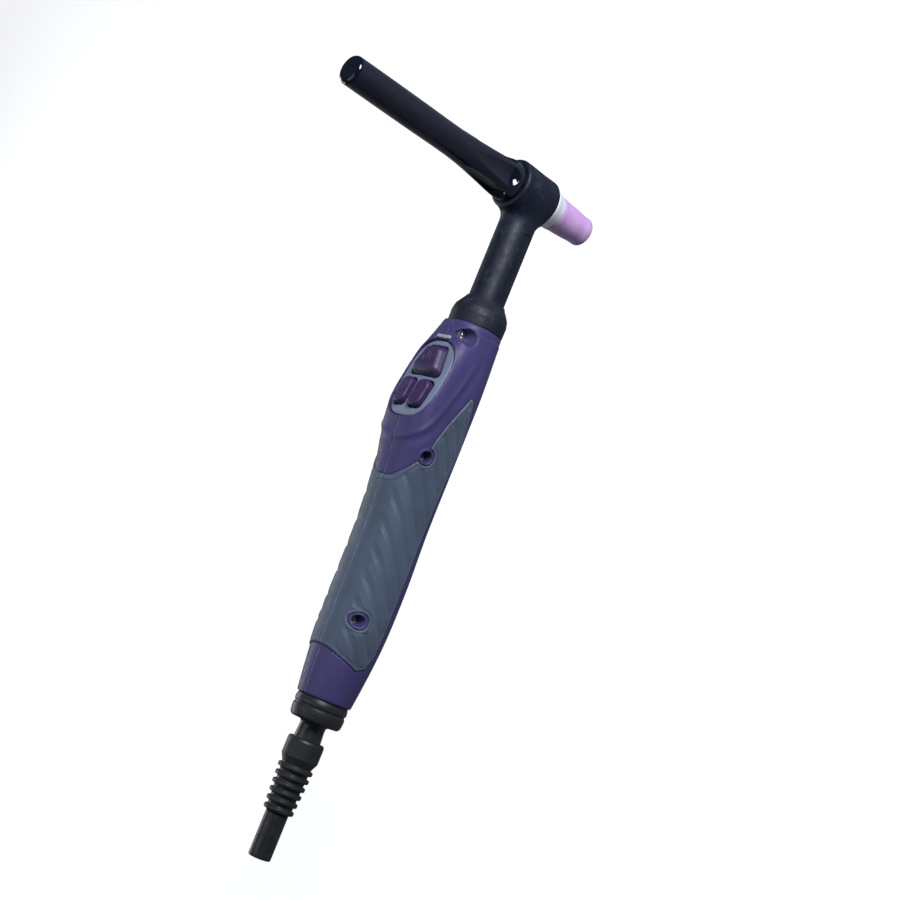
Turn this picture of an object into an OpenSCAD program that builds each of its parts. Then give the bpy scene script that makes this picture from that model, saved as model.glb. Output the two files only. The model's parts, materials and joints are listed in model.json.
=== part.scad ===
// Air-cooled TIG welding torch with a switch panel in the handle.
// Origin: centre of the gas nozzle's mouth. +Z runs up the electrode axis to the back cap,
// +X runs along the handle towards the head, and the handle lies along -X.

/* [Head and neck] */
// Height of the neck axis above the nozzle mouth
axis_z = 40.7; // [40:0.1:42]
// Radius of the rubber head
head_r = 12.3; // [12:0.1:13.5]
// Radius of the rubber neck
neck_r = 9.1; // [8.6:0.1:9.2]
// Distance from the electrode axis to the mouth of the handle
neck_reach = 72; // [68:1:84]

/* [Nozzle and electrode] */
// Outside radius at the nozzle mouth
nozzle_r = 7.5; // [7.2:0.1:8]
// Radius of the gas outlet
nozzle_bore_r = 5.6; // [5:0.1:6]
// Visible length of the nozzle
nozzle_len = 24; // [23:0.5:24.5]
// Radius of the tungsten electrode
electrode_r = 1.2; // [0.8:0.1:1.2]
// Length of the tungsten electrode
electrode_len = 150; // [120:1:155]

/* [Back cap] */
// Height of the back cap above the head
cap_len = 109; // [100:0.1:115]
// Number of finger flutes round the base of the cap
cap_flutes = 5; // [4:1:6]

/* [Handle] */
// Length of the handle
handle_len = 190; // [185:1:200]
// Wall thickness of the handle shells
wall = 2; // [1.8:0.1:2.4]
// How far the rubber grips stand above the shell
grip_proud = 0.35; // [0.2:0.05:0.6]

/* [Switch panel] */
// Distance from the handle mouth to the middle of the panel
panel_d = 33; // [32:0.5:34]
// Length of the panel
panel_l = 41.8; // [40:0.1:42]
// Width of the panel
panel_w = 29.4; // [28:0.1:30]
// Slope of the panel, lower towards the head
panel_tilt = 10; // [9:0.5:11]
// Height of the big button above the panel
main_height = 3.6; // [3:0.1:4]
// Height of the small buttons above the panel
small_height = 2.8; // [2:0.1:3.4]

/* [Cable] */
// Radius of the power cable
cable_r = 5.5; // [5:0.1:6]
// Length of cable that shows behind the strain relief
cable_show = 22; // [10:1:60]

/* [Hidden] */

$fn = 64;
e = 0.05;                       // running clearance between turning or sliding parts
seam = 0.02;                    // gap between parts that only rest together

// Heights along the electrode axis
ring_len = 6.7;
head_z0 = nozzle_len + ring_len;
head_z1 = axis_z + 14.3;
cap_z0 = head_z1 + 0.4;
cap_z1 = cap_z0 + cap_len;
core_r = 7.2;
core_z0 = 33;
core_z1 = head_z1 - 3.2;
thread_r = 6.28;                // nozzle thread on the collet body
stem_r = 5.4;                   // back cap thread
groove_z = cap_z0 - 2.6;        // O-ring groove in the back cap's stem
electrode_z0 = 0.8;

// Stations along the handle, measured back from its mouth
mouth_x = -neck_reach;
neck_tail = mouth_x - 10;
tube_r = 4.5;
tube_tail = mouth_x - 60;
union_x0 = mouth_x - 54;
union_len = 26;
socket_x = mouth_x - handle_len;
ball_x = socket_x - 6;
ball_r = 9;
cable_inner_r = 4.4;
sleeved_r = cable_r - 0.9;      // cable inside the knuckle and the strain relief
relief_x = ball_x - 14;
relief_len = 36;
relief_tail = relief_x - relief_len;

// Handle sections: distance from mouth, half width, height above and below the neck axis,
// and the squareness of the upper half (2 is an ellipse)
SECTIONS = [
    [0, 14.2, 14.4, 14.0, 2.4],
    [8, 15.0, 15.6, 13.7, 3.4],
    [14, 15.9, 16.9, 13.5, 4.2],
    [30, 17.3, 19.4, 13.4, 6.0],
    [48, 17.5, 22.2, 13.6, 5.5],
    [56, 17.3, 22.6, 13.9, 4.4],
    [72, 16.6, 20.2, 14.6, 3.0],
    [100, 15.8, 17.2, 15.6, 2.5],
    [130, 16.4, 16.0, 17.0, 2.3],
    [158, 16.4, 15.4, 16.4, 2.3],
    [178, 14.8, 14.0, 14.6, 2.2],
    [190, 13.4, 13.0, 13.2, 2.1]
];
LOWER_SQUARE = 2.1;
RING_POINTS = 36;
STATION_STEP = 8;

// Handle screws: distance from mouth, height above the neck axis, seat of the head across the handle
SCREWS = [[7.2, 12, -4.6], [68, 11.2, -9.4], [150, 9.6, -7]];
SCREW_R = 1.5;
SCREW_HEAD_R = 2.6;
BOSS_R = 3.6;

// Grip outline on the side of the handle: distance from mouth, height above the neck axis
GRIP_OUTLINE = [
    [33.4, 0.2], [44, 5.1], [51, 8.1], [58, 10.2], [64, 11.4], [70, 13.6], [74, 15.6], [78.5, 17.7],
    [82, 18.7], [85, 21], [90, 30], [150, 30], [160, 24], [168, 12], [172, 2], [170, -3], [162, -6],
    [64, -6], [56, -6.4], [46, -4.4], [38, -2.6], [34, -1.2]
];
GRIP_DEPTH = 1.2;
GRIP_SEAT_S0 = 20;
GRIP_SEAT_S1 = 184;

crown = 1.4;                    // rise of the panel at its middle
crown_r = (panel_w * panel_w / 4 + crown * crown) / (2 * crown);
panel_edge_z = 18;              // height of the panel's rim above the neck axis, at its middle
PANEL_SQUARE = 2.8;
plate_t = 2;
skirt_z = -5;
flange_z = -3.2;
flange_t = 1;
flange_out = 0.9;
button_gap = 0.2;
board_z = -10;
board_t = 1.6;
tact_h = 3;
actuator_h = 0.6;
tab_x = 1.1;                    // gap between the panel and the release tab
tab_l = 1.8;
tab_w = 9.6;
tab_z = 1;
main_travel = 1.2;
small_travel = 1;
MAIN_CORNERS = [[17.8, -6.4], [17.8, 6.4], [1.3, 11.2], [1.3, -11.2]];
SMALL_CORNERS = [[-0.9, 1.6], [-0.9, 10.6], [-15.7, 9.4], [-15.9, 1.6]];
MAIN_STEM = [9.5, 0];
SMALL_STEM = [-8.4, 5.8];
POSTS = [[15.4, 9.9], [15.4, -9.9], [-18.6, 5], [-18.6, -5]];

// Smooth curve through one column of a table whose first column rises
function slope(t, c, i) =
    let (a = max(i - 1, 0), b = min(i + 1, len(t) - 1)) (t[b][c] - t[a][c]) / (t[b][0] - t[a][0]);
function cell(t, s, i = 0) = (i >= len(t) - 2 || s < t[i + 1][0]) ? i : cell(t, s, i + 1);
function curve(t, c, s) =
    let (i = cell(t, s), h = t[i + 1][0] - t[i][0], u = (s - t[i][0]) / h)
    t[i][c] * (2 * u * u * u - 3 * u * u + 1) + t[i + 1][c] * (3 * u * u - 2 * u * u * u)
    + h * slope(t, c, i) * (u * u * u - 2 * u * u + u)
    + h * slope(t, c, i + 1) * (u * u * u - u * u);

// Point at angle a of a rounded-square curve
function square_curve(a, w, h, n) =
    [w * sign(cos(a)) * pow(abs(cos(a)), 2 / n), h * sign(sin(a)) * pow(abs(sin(a)), 2 / n)];
function section_point(s, a, inset) =
    let (w = curve(SECTIONS, 1, s) - inset,
         h = curve(SECTIONS, sin(a) >= 0 ? 2 : 3, s) - inset,
         n = sin(a) >= 0 ? curve(SECTIONS, 4, s) : LOWER_SQUARE,
         p = square_curve(a, w, h, n))
    [mouth_x - s, p[0], axis_z + p[1]];

// Outline with each corner rounded to radius r
function unit(v) = v / norm(v);
function rounded(points, r, steps = 8) =
    let (n = len(points))
    [for (i = [0:n - 1])
        let (q = points[i], u = unit(points[(i + n - 1) % n] - q), v = unit(points[(i + 1) % n] - q),
             half = acos(u * v) / 2, c = q + unit(u + v) * r / sin(half),
             from = q + u * r / tan(half), to = q + v * r / tan(half))
        for (j = [0:steps]) c + unit(from + (to - from) * j / steps - c) * r];

module at_axis() translate([0, 0, axis_z]) children();

// Turns a profile of [radius, x] pairs about the neck axis
module along_neck() at_axis() rotate([0, 90, 0]) rotate_extrude() children();

module loft(s0, s1, inset) {
    n = ceil((s1 - s0) / STATION_STEP);
    stations = [for (i = [0:n]) s0 + (s1 - s0) * i / n];
    points = [for (s = stations) for (j = [0:RING_POINTS - 1])
        section_point(s, 360 * j / RING_POINTS, inset)];
    sides = [for (i = [0:n - 1]) for (j = [0:RING_POINTS - 1])
        let (k = (j + 1) % RING_POINTS, a = i * RING_POINTS)
        for (f = [[a + j, a + k, a + RING_POINTS + k],
                  [a + j, a + RING_POINTS + k, a + RING_POINTS + j]]) f];
    front = [for (j = [RING_POINTS - 1:-1:0]) j];
    back = [for (j = [0:RING_POINTS - 1]) n * RING_POINTS + j];
    polyhedron(points, concat(sides, [front, back]));
}

module half_space(side) {
    reach = 400;
    translate([-reach, side > 0 ? 0 : -reach, -reach / 2]) cube([reach + 50, reach, reach]);
}

module panel() {
    translate([mouth_x - panel_d, 0, axis_z + panel_edge_z]) rotate([0, panel_tilt, 0]) children();
}

module panel_outline(grow) {
    polygon([for (a = [0:6:354]) square_curve(a, panel_l / 2 + grow, panel_w / 2 + grow, PANEL_SQUARE)]);
}

// Everything under the panel's crowned surface, raised by lift
module under_crown(lift) {
    translate([0, 0, crown - crown_r + lift]) rotate([0, 90, 0])
        cylinder(r = crown_r, h = 2 * panel_l, center = true, $fn = 160);
}

module screw_axis(screw, y) {
    translate([mouth_x - screw[0], y, axis_z + screw[1]]) rotate([-90, 0, 0]) children();
}

module head_cover() {
    color("#17181a") difference() {
        union() {
            rotate_extrude() polygon([
                [0, head_z0], [head_r - 1.3, head_z0], [head_r - 0.4, head_z0 + 0.7], [head_r, head_z0 + 2],
                [head_r - 0.1, axis_z], [head_r + 0.4, head_z1 - 2.2], [head_r + 0.3, head_z1 - 0.9],
                [head_r - 0.5, head_z1], [0, head_z1]
            ]);
            at_axis() rotate([0, -90, 0]) cylinder(r = neck_r, h = -neck_tail);
            at_axis() rotate([0, -90, 0]) cylinder(r1 = 10.4, r2 = neck_r, h = 22);
        }
        translate([0, 0, core_z0 - e]) cylinder(r = core_r + seam, h = core_z1 - core_z0 + 2 * e);
        cylinder(r = 6.9, h = axis_z);
        translate([0, 0, axis_z]) cylinder(r = stem_r + 0.6, h = 40);
        translate([0, 0, head_z1 - 2.6]) cylinder(r = 8.1, h = 5);
        at_axis() rotate([0, -90, 0]) cylinder(r = tube_r + seam, h = 200);
    }
}

module head_core() {
    color("#b08a3c") difference() {
        union() {
            translate([0, 0, core_z0]) cylinder(r = core_r, h = core_z1 - core_z0);
            at_axis() rotate([0, -90, 0]) cylinder(r = tube_r, h = -tube_tail);
        }
        translate([0, 0, core_z0 - 1]) cylinder(r = 5 + e, h = 6);
        translate([0, 0, core_z0 - 1]) cylinder(r = 2.6, h = 40);
        translate([0, 0, 45]) cylinder(r = stem_r + e, h = 20);
        at_axis() translate([-5, 0, 0]) rotate([0, -90, 0]) cylinder(r = 2.6, h = 200);
    }
}

module insulator_ring() {
    color("#e9ebee") difference() {
        union() {
            translate([0, 0, nozzle_len]) rotate_extrude() polygon([
                [0, e], [9.2, e], [9.6, 1.6], [10.1, 3.4], [10.9, 5.4], [11, ring_len - e], [0, ring_len - e]
            ]);
            translate([0, 0, nozzle_len + 1]) cylinder(r = 6.85, h = core_z0 - nozzle_len - 1.1);
        }
        translate([0, 0, nozzle_len - 1]) cylinder(r = thread_r + 0.06, h = 20);
    }
}

module gas_nozzle() {
    step_z = 8.2;
    color("#b98fcb") rotate_extrude() polygon([
        [nozzle_bore_r, 0.4], [nozzle_bore_r + 0.4, 0], [nozzle_r, 0], [nozzle_r, step_z - 0.7],
        [8.25, step_z + 0.4], [8.4, 15.7], [9, 21.5], [9, nozzle_len - 0.5], [8.5, nozzle_len],
        [thread_r + e, nozzle_len], [thread_r + e, 14.2], [nozzle_bore_r, 13]
    ]);
}

module collet_body() {
    gas_hole_z = 10.5;
    color("#c79a4b") difference() {
        union() {
            translate([0, 0, 2.5]) cylinder(r = 4.2, h = 15);
            translate([0, 0, 14.5]) cylinder(r = thread_r, h = 18.4);
            translate([0, 0, 30]) cylinder(r = 5, h = 7);
        }
        translate([0, 0, 2]) cylinder(r = electrode_r + e, h = 3);
        translate([0, 0, 4]) cylinder(r = 2.1, h = 40);
        for (a = [0:90:270]) rotate([0, 0, a]) translate([2.6, 0, gas_hole_z]) rotate([0, 90, 0])
            cylinder(r = 0.6, h = 4, $fn = 24);
    }
}

module collet() {
    slit = 0.3;
    color("#c98f5a") difference() {
        union() {
            translate([0, 0, 4.2]) cylinder(r = 1.95, h = 40);
            translate([0, 0, 40]) cylinder(r = 2.5, h = 4.4);
        }
        cylinder(r = electrode_r + e, h = 50);
        for (a = [0, 90]) rotate([0, 0, a]) translate([-slit / 2, -3, 4]) cube([slit, 6, 14]);
    }
}

module electrode() {
    point = 4;
    color("#9aa0a6") translate([0, 0, electrode_z0]) {
        cylinder(r1 = 0.15, r2 = electrode_r, h = point);
        translate([0, 0, point]) cylinder(r = electrode_r, h = electrode_len - point);
    }
}

module back_cap() {
    flute_r = 9;
    flute_x = 16.4;             // distance of a flute's axis from the cap's axis
    flute_z = cap_z0 + 9.8;
    flute_turn = -20;
    stem_z = 45.5;
    color("#0c0d10") difference() {
        rotate_extrude() polygon(concat([
            [0, stem_z], [stem_r, stem_z], [stem_r, groove_z - 0.8], [stem_r - 1, groove_z - 0.8],
            [stem_r - 1, groove_z + 0.8], [7.4, groove_z + 0.8], [7.4, cap_z0], [10, cap_z0],
            [10.5, cap_z0 + 0.5], [10.5, cap_z0 + 2.4], [10.2, cap_z0 + 6.6], [9.8, cap_z0 + 10.6],
            [9.3, cap_z0 + 14.6], [8.65, cap_z0 + 20.6], [8, cap_z0 + 26.6], [7.5, cap_z0 + 32.6],
            [7.2, cap_z0 + 40], [7.15, cap_z0 + 50], [7.25, cap_z0 + 65], [7.2, cap_z0 + 98],
            [7.1, cap_z1 - 2]],
            [for (a = [15:15:90]) [5.1 + 2 * cos(a), cap_z1 - 2 + 2 * sin(a)]],
            [[0, cap_z1]]));
        translate([0, 0, stem_z - 1]) cylinder(r = 1.7, h = electrode_z0 + electrode_len - stem_z + 7);
        for (i = [0:cap_flutes - 1]) rotate([0, 0, flute_turn + i * 360 / cap_flutes])
            translate([flute_x, 0, flute_z]) {
                sphere(r = flute_r);
                cylinder(r = flute_r, h = 32);
            }
    }
}

module cap_o_ring() {
    color("#2a2a2c") translate([0, 0, groove_z]) rotate_extrude()
        translate([stem_r - 0.2, 0]) circle(r = 0.75, $fn = 32);
}

module neck_boot() {
    color("#1b1c1e") along_neck() polygon([
        [neck_r + e, mouth_x + seam], [14, mouth_x + seam], [14.1, mouth_x + 6.3], [13.6, mouth_x + 8.4],
        [12.7, mouth_x + 9.8], [11.4, mouth_x + 11.6], [10.3, mouth_x + 15], [neck_r + e, mouth_x + 15]
    ]);
}

module handle_cavity() {
    front_wall = 6;
    tail_wall = 8;
    difference() {
        loft(front_wall, handle_len - tail_wall, wall);
        for (s = SCREWS) screw_axis(s, -30) cylinder(r = BOSS_R, h = 60);
    }
    at_axis() translate([1, 0, 0]) rotate([0, -90, 0]) cylinder(r = neck_r + seam, h = -mouth_x + 12);
    at_axis() translate([socket_x + 12, 0, 0]) rotate([0, -90, 0]) cylinder(r = 9.6, h = 20);
    at_axis() translate([socket_x + 5, 0, 0]) rotate([0, -90, 0]) cylinder(r = 10.8, h = 3);
}

module screw_holes() {
    for (s = SCREWS) {
        screw_axis(s, -30) cylinder(r = SCREW_HEAD_R + 0.15, h = 30 + s[2]);
        screw_axis(s, -12) cylinder(r = SCREW_R + 0.15, h = 22);
        screw_axis(s, 2) cylinder(r = 2.3 + seam, h = 6);
    }
}

module panel_opening() {
    panel() {
        translate([0, 0, skirt_z - 1]) linear_extrude(height = 20) panel_outline(0.25);
        translate([panel_l / 2 - 1.6, -tab_w / 2 - 0.4, tab_z - e])
            cube([tab_x + tab_l + 1.7, tab_w + 0.8, 8]);
    }
}

module grip_side(side) {
    at_axis() translate([mouth_x, 0, 0]) rotate([90, 0, 180])
        translate([0, 0, side > 0 ? 0 : -40]) linear_extrude(height = 40) polygon(GRIP_OUTLINE);
}

// Space left in the grips for the shell's rings round the second and third screws
module grip_relief(grow) {
    for (s = [SCREWS[1], SCREWS[2]]) screw_axis(s, -30) cylinder(r = BOSS_R + 0.6 + grow, h = 60);
}

module shell(side) {
    difference() {
        intersection() {
            loft(0, handle_len, 0);
            half_space(side);
        }
        handle_cavity();
        screw_holes();
        panel_opening();
        difference() {
            grip_side(side);
            loft(GRIP_SEAT_S0, GRIP_SEAT_S1, GRIP_DEPTH);
            grip_relief(0);
        }
    }
}

module shell_near() color("#4b4178") shell(-1);

module shell_far() color("#4b4178") shell(1);

module grip(side) {
    intersection() {
        difference() {
            loft(GRIP_SEAT_S0 + 8, GRIP_SEAT_S1 - 8, -grip_proud);
            loft(GRIP_SEAT_S0, GRIP_SEAT_S1, GRIP_DEPTH - e);
            grip_relief(0.1);
        }
        grip_side(side);
        half_space(side);
    }
}

module grip_near() color("#65737d") grip(-1);

module grip_far() color("#65737d") grip(1);

module button_hole(corners, r, side = 1) {
    translate([0, 0, -8]) linear_extrude(height = 16)
        polygon([for (p = rounded(corners, r)) [p[0], side * p[1]]]);
}

// Corners of an outline moved away from its middle
function spread(corners, d) =
    let (m = [for (i = [0, 1]) (max([for (c = corners) c[i]]) + min([for (c = corners) c[i]])) / 2])
    [for (c = corners) [c[0] + d * sign(c[0] - m[0]), c[1] + d * sign(c[1] - m[1])]];

module switch_bezel() {
    color("#8493a0") panel() {
        difference() {
            intersection() {
                translate([0, 0, skirt_z]) linear_extrude(height = 16) panel_outline(0);
                under_crown(0);
            }
            intersection() {
                translate([0, 0, skirt_z - 1]) linear_extrude(height = 16) panel_outline(-1.3);
                under_crown(-plate_t);
            }
            button_hole(spread(MAIN_CORNERS, button_gap), 2.7);
            for (side = [-1, 1]) button_hole(spread(SMALL_CORNERS, button_gap), 2.7, side);
        }
        for (p = POSTS) translate([p[0], p[1], board_z + board_t + seam])
                cylinder(r = 1.3, h = -board_z - board_t - 2.6, $fn = 32);
    }
}

module release_tab() {
    color("#98a2ad") panel() translate([panel_l / 2 + tab_x, -tab_w / 2, tab_z]) cube([tab_l, tab_w, 1.5]);
}

module button(corners, height, stem, travel, side = 1) {
    body_z = flange_z + flange_t / 2;
    intersection() {
        translate([0, 0, body_z]) linear_extrude(height = 16)
            polygon([for (p = rounded(corners, 2.5)) [p[0], side * p[1]]]);
        under_crown(height);
    }
    translate([0, 0, flange_z]) linear_extrude(height = flange_t)
        polygon([for (p = rounded(spread(corners, flange_out), 3)) [p[0], side * p[1]]]);
    stem_z = board_z + board_t + tact_h + actuator_h + travel + e;
    translate([stem[0], side * stem[1], stem_z]) cylinder(r = 1.8, h = flange_z - stem_z + 0.5, $fn = 32);
}

module main_button() color("#46305f") panel() button(MAIN_CORNERS, main_height, MAIN_STEM, main_travel);

module near_button() color("#46305f") panel()
    button(SMALL_CORNERS, small_height, SMALL_STEM, small_travel, -1);

module far_button() color("#46305f") panel()
    button(SMALL_CORNERS, small_height, SMALL_STEM, small_travel);

module switch_board() {
    color("#2f6b3c") panel() translate([0, 0, board_z]) linear_extrude(height = board_t)
        polygon(rounded([[17.2, -11.6], [17.2, 11.6], [-19.2, 11.2], [-19.2, -11.2]], 4));
}

module tact_switches() {
    size = 6;
    color("#202225") panel()
        for (p = [MAIN_STEM, SMALL_STEM, [SMALL_STEM[0], -SMALL_STEM[1]]])
            translate([p[0], p[1], board_z + board_t + seam]) {
                translate([-size / 2, -size / 2, 0]) cube([size, size, tact_h - seam]);
                cylinder(r = 1.6, h = tact_h + actuator_h - seam, $fn = 32);
            }
}

module switch_lead() {
    lead_y = 9.6;
    lead_z = axis_z + 2.5;
    lead_x = mouth_x - 44;
    color("#3a3a3e") {
        translate([lead_x, lead_y, lead_z]) rotate([0, -90, 0]) cylinder(r = 1.4, h = 122, $fn = 32);
        translate([lead_x, lead_y, lead_z]) sphere(r = 1.4, $fn = 32);
        translate([lead_x, lead_y, lead_z]) cylinder(r = 1.4, h = 6.7, $fn = 32);
    }
}

module handle_screws() {
    color("#8d9096") for (s = SCREWS) difference() {
        union() {
            screw_axis(s, s[2] - 2.4) cylinder(r = SCREW_HEAD_R, h = 2.4 - seam);
            screw_axis(s, s[2] - 1) cylinder(r = SCREW_R, h = 8 - s[2]);
        }
        screw_axis(s, s[2] - 3) cylinder(r = 1.25, h = 2, $fn = 6);
    }
}

module handle_nuts() {
    color("#b8963f") for (s = SCREWS) difference() {
        screw_axis(s, 2 + e) cylinder(r = 2.3, h = 5.8);
        screw_axis(s, 0) cylinder(r = SCREW_R + seam, h = 12);
    }
}

module cable_union() {
    hex_r = 7.4;
    color("#b59145") difference() {
        at_axis() translate([union_x0, 0, 0]) rotate([0, -90, 0]) {
            cylinder(r = hex_r, h = 12, $fn = 6);
            cylinder(r = 6, h = union_len);
        }
        at_axis() translate([union_x0 + 1, 0, 0]) rotate([0, -90, 0])
            cylinder(r = tube_r + seam, h = union_x0 - tube_tail + 1.2);
        at_axis() translate([union_x0 - 16, 0, 0]) rotate([0, -90, 0])
            cylinder(r = cable_inner_r + seam, h = union_len);
        at_axis() translate([union_x0 + 1, 0, 0]) rotate([0, -90, 0]) cylinder(r = 2.4, h = union_len);
    }
}

module inner_cable() {
    color("#222326") at_axis() translate([union_x0 - 16.2, 0, 0]) rotate([0, -90, 0])
        cylinder(r = cable_inner_r, h = union_x0 - 16.2 - ball_x - ball_r - 1.5);
}

module swivel_collar() {
    rim_r = 12.9;
    color("#141518") difference() {
        along_neck() polygon([
            [0, ball_x - 5.2], [11.4, ball_x - 5.2], [12.3, ball_x - 4.4], [rim_r, ball_x - 2.4],
            [rim_r, ball_x + 4], [12.4, socket_x - e], [9.6 - e, socket_x - e],
            [9.6 - e, socket_x + 2 + e], [10.8 - e, socket_x + 2 + e],
            [10.8 - e, socket_x + 5 - e], [9.6 - e, socket_x + 5 - e],
            [9.6 - e, socket_x + 7.6], [0, socket_x + 7.6]
        ]);
        at_axis() translate([ball_x, 0, 0]) sphere(r = ball_r + e);
        along_neck() polygon([
            [0, ball_x - 6], [10.6, ball_x - 6], [8.8, ball_x - 2.4], [0, ball_x]
        ]);
        along_neck() polygon([[0, ball_x], [6.2, ball_x + 6.6], [6.2, socket_x + 9], [0, socket_x + 9]]);
    }
}

module cable_knuckle() {
    color("#1d1e21") difference() {
        union() {
            at_axis() translate([ball_x, 0, 0]) sphere(r = ball_r);
            along_neck() polygon([
                [0, ball_x - 24], [6.6, ball_x - 24], [6.6, ball_x - 13],
                [6.4, ball_x - 9], [6.2, ball_x - 4], [0, ball_x - 4]
            ]);
        }
        at_axis() translate([ball_x + 10, 0, 0]) rotate([0, -90, 0]) cylinder(r = sleeved_r + seam, h = 40);
    }
}

module strain_relief() {
    ribs = 6;
    pitch = 4;
    color("#18191b") {
        along_neck() polygon([
            [6.6 + seam, relief_x], [9, relief_x - 0.8], [9, relief_x - 9], [8.2, relief_x - 11],
            [6.7, relief_tail + seam], [sleeved_r + seam, relief_tail + seam],
            [sleeved_r + seam, relief_x - 10 - seam], [6.6 + seam, relief_x - 10 - seam]
        ]);
        for (i = [0:ribs - 1]) along_neck() translate([6.2, relief_x - 15 - i * pitch])
            square([2.5 - 0.22 * i, 2]);
    }
}

module power_cable() {
    tail = relief_tail - cable_show;
    color("#26272a") difference() {
        at_axis() rotate([0, -90, 0]) {
            translate([0, 0, -relief_tail]) cylinder(r = cable_r, h = cable_show);
            translate([0, 0, -ball_x - 2]) cylinder(r = sleeved_r, h = ball_x + 3 - relief_tail);
        }
        at_axis() translate([tail + 4, 0, 0]) rotate([0, -90, 0]) cylinder(r = 3, h = 8);
    }
}

head_cover();
head_core();
insulator_ring();
gas_nozzle();
collet_body();
collet();
electrode();
back_cap();
cap_o_ring();
neck_boot();
shell_near();
shell_far();
grip_near();
grip_far();
switch_bezel();
release_tab();
main_button();
near_button();
far_button();
switch_board();
tact_switches();
switch_lead();
handle_screws();
handle_nuts();
cable_union();
inner_cable();
swivel_collar();
cable_knuckle();
strain_relief();
power_cable();
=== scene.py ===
"""Looks of the TIG torch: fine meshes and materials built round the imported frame.

Shapes are worked out in millimetres in the row frame and turned into metres when a mesh is made. A soft or
moulded shape is a field: a function of an array of points that is negative inside the solid and positive
outside it, and about the distance to the surface near it.
"""

import json
import math

import bmesh
import bpy
import numpy as np
from mathutils import Matrix, Vector


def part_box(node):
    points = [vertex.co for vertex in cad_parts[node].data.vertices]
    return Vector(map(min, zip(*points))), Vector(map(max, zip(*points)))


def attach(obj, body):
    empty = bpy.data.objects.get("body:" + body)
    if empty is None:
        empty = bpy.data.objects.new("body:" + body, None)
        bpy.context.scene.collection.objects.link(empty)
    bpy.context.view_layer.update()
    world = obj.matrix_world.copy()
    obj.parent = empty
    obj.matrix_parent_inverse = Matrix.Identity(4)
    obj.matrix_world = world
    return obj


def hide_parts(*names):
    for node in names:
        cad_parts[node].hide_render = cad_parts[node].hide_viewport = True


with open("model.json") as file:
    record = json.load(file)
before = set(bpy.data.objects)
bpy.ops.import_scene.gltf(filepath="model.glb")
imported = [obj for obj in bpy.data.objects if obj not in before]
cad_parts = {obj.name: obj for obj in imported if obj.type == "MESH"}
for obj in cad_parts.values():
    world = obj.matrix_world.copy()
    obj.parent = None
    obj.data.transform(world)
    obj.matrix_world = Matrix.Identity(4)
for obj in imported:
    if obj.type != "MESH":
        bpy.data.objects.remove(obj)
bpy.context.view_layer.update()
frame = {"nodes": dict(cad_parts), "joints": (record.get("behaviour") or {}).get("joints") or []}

MM = 0.001
COARSE = 1.0     # cell size factor while trying things


# ---------------------------------------------------------------- places read from the frame

def low(node):
    """Lowest corner of a node's box, in millimetres."""
    return np.array(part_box(node)[0]) / MM


def high(node):
    return np.array(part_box(node)[1]) / MM


def joint(name):
    return next(j for j in frame["joints"] if j["name"] == name)


AXIS_Z = (low("neck_boot")[2] + high("neck_boot")[2]) / 2
MOUTH_X = high("shell_near")[0]
SOCKET_X = low("shell_near")[0]
HANDLE_LEN = MOUTH_X - SOCKET_X
HEAD_Z0, HEAD_Z1 = low("head_cover")[2], high("head_cover")[2]
HEAD_R = high("head_cover")[0]
NECK_TAIL = low("head_cover")[0]
CORE_FOOT = low("head_core")[2]
NOZZLE_TOP = high("gas_nozzle")[2]
RING_R = high("insulator_ring")[0]
CAP_FOOT = HEAD_Z1 + 0.4
CAP_TOP = high("back_cap")[2]
STEM_FOOT = low("back_cap")[2]
BALL_X = joint("cable_tilt")["pos_m"][0] / MM
RELIEF_X = high("strain_relief")[0]
RELIEF_TAIL = low("strain_relief")[0]
CABLE_TAIL = low("power_cable")[0]
PRESS = joint("main_button_press")["axis"]
TILT = math.atan2(-PRESS[0], -PRESS[2])

NECK_R, TUBE_R = 9.1, 4.52              # rubber neck, and its bore for the metal tube
CORE_R, CAP_SEAT_R, RING_SEAT_R = 7.22, 8.1, 6.9       # bores of the head
PANEL_D = 33.0                          # middle of the panel, measured back from the handle's mouth
PANEL_Z = 18.0                          # rim of the panel above the neck axis
PANEL_HALF = np.array([20.9, 14.7])     # half its length and half its width
PANEL_SQUARE = 2.8
PANEL_CROWN = 1.4                       # rise of its middle line over its edges
CROWN_R = (PANEL_HALF[1] ** 2 + PANEL_CROWN ** 2) / (2 * PANEL_CROWN)
WALL = 2.0
GRIP_DEPTH = 1.2                        # depth of the grip's seat in the shell
GRIP_PROUD = 0.35
SCREWS = (                              # distance from mouth, height above the axis, seat of the head in y
    (7.2, 12.0, -4.6),
    (68.0, 11.2, -9.4),
    (150.0, 9.6, -7.0),
)
SCREW_HEAD_R, SHANK_R, NUT_R = 2.75, 1.65, 2.32
SHANK_Y, NUT_Y = (-12, 10), (2, 8)      # how far the holes and the nut pockets reach across
SCREW_COVER = 1.5                       # skin left over the blind end of a screw hole
BOSS_R = (5.2, 3.6, 3.6)                # bosses inside the shell, one for each screw
RING_BOSS_R = 4.1                       # opening in the grip round a screw
TAB_PLACE = (22.9, 0, 1.75)             # middle of the small tab, in the panel's frame
TAB_HALF = (0.9, 4.8, 0.75)             # half its size
TAB_SLOT = (19.3, 23.9)                 # ends of its slot, with room to slide
COLLAR_R, CLIP_R = 9.62, 10.8           # bore and groove of the handle's tail for the swivel collar
FIT = 0.03                              # gap between pieces that fit together
TRIM = 0.02                             # ends are cut back this much, to stay clear of what they meet

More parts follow.
